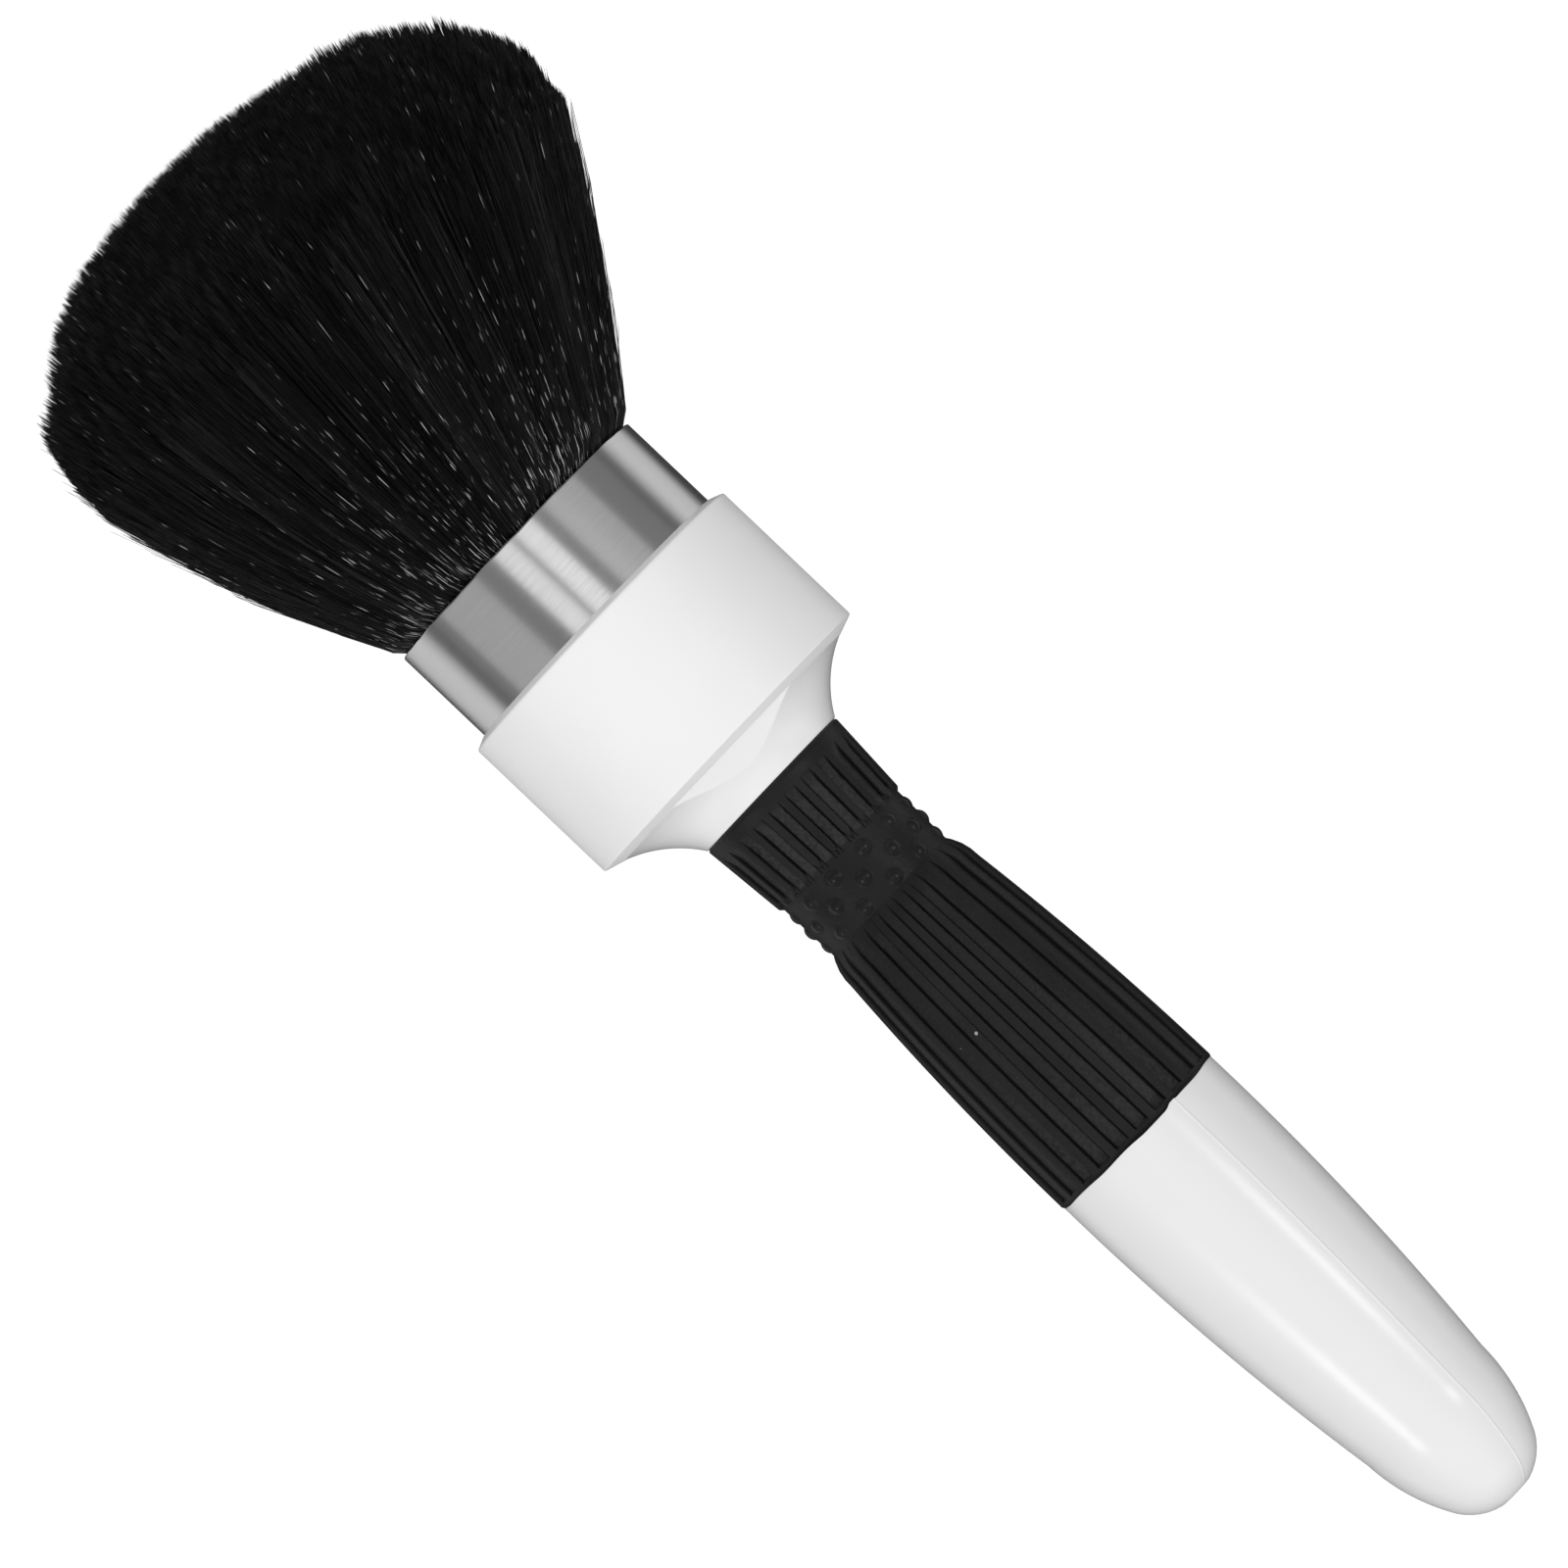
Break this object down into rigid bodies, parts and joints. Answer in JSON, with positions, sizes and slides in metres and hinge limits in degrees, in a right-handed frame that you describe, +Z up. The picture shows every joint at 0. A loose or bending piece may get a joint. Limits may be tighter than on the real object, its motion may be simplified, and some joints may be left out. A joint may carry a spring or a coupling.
{
  "type": "neck duster brush",
  "caption": "Barber's neck duster: a flared soft bristle tuft in a metal ferrule and white drum, on a straight handle with a ribbed rubber grip and a smooth white tail.",
  "frame": {"origin": "on the surface the brush lies on, under the middle of its bounding box", "axes": "+X from the bristles to the tail, +Z up; the brush's own axis is turned 6.9 degrees about Y, because it lies on its tuft and tail"},
  "size_m": [0.2092, 0.0704, 0.0616],
  "materials": {
    "bristle": "soft black synthetic filament",
    "thread": "waxed thread",
    "wood": "plain turned softwood",
    "resin": "cast resin",
    "ferrule": "drawn tube, lightly brushed",
    "disc": "plain",
    "collar": "satin white",
    "screw": "zinc plated",
    "washer": "zinc plated",
    "neck": "moulded white",
    "grip": "fine grained charcoal rubber",
    "tail": "glossy moulded white"
  },
  "bodies": {
    "root": {"bristle_tuft": "bristle", "root_binding": "thread", "bristle_spreader": "wood", "root_resin_plug": "resin", "ferrule": "ferrule", "ferrule_backing_disc": "disc", "collar_cup": "collar", "collar_screw": "screw", "screw_washer": "washer", "neck_core": "neck", "grip_sleeve": "grip", "tail_shell": "tail"}
  },
  "joints": []
}
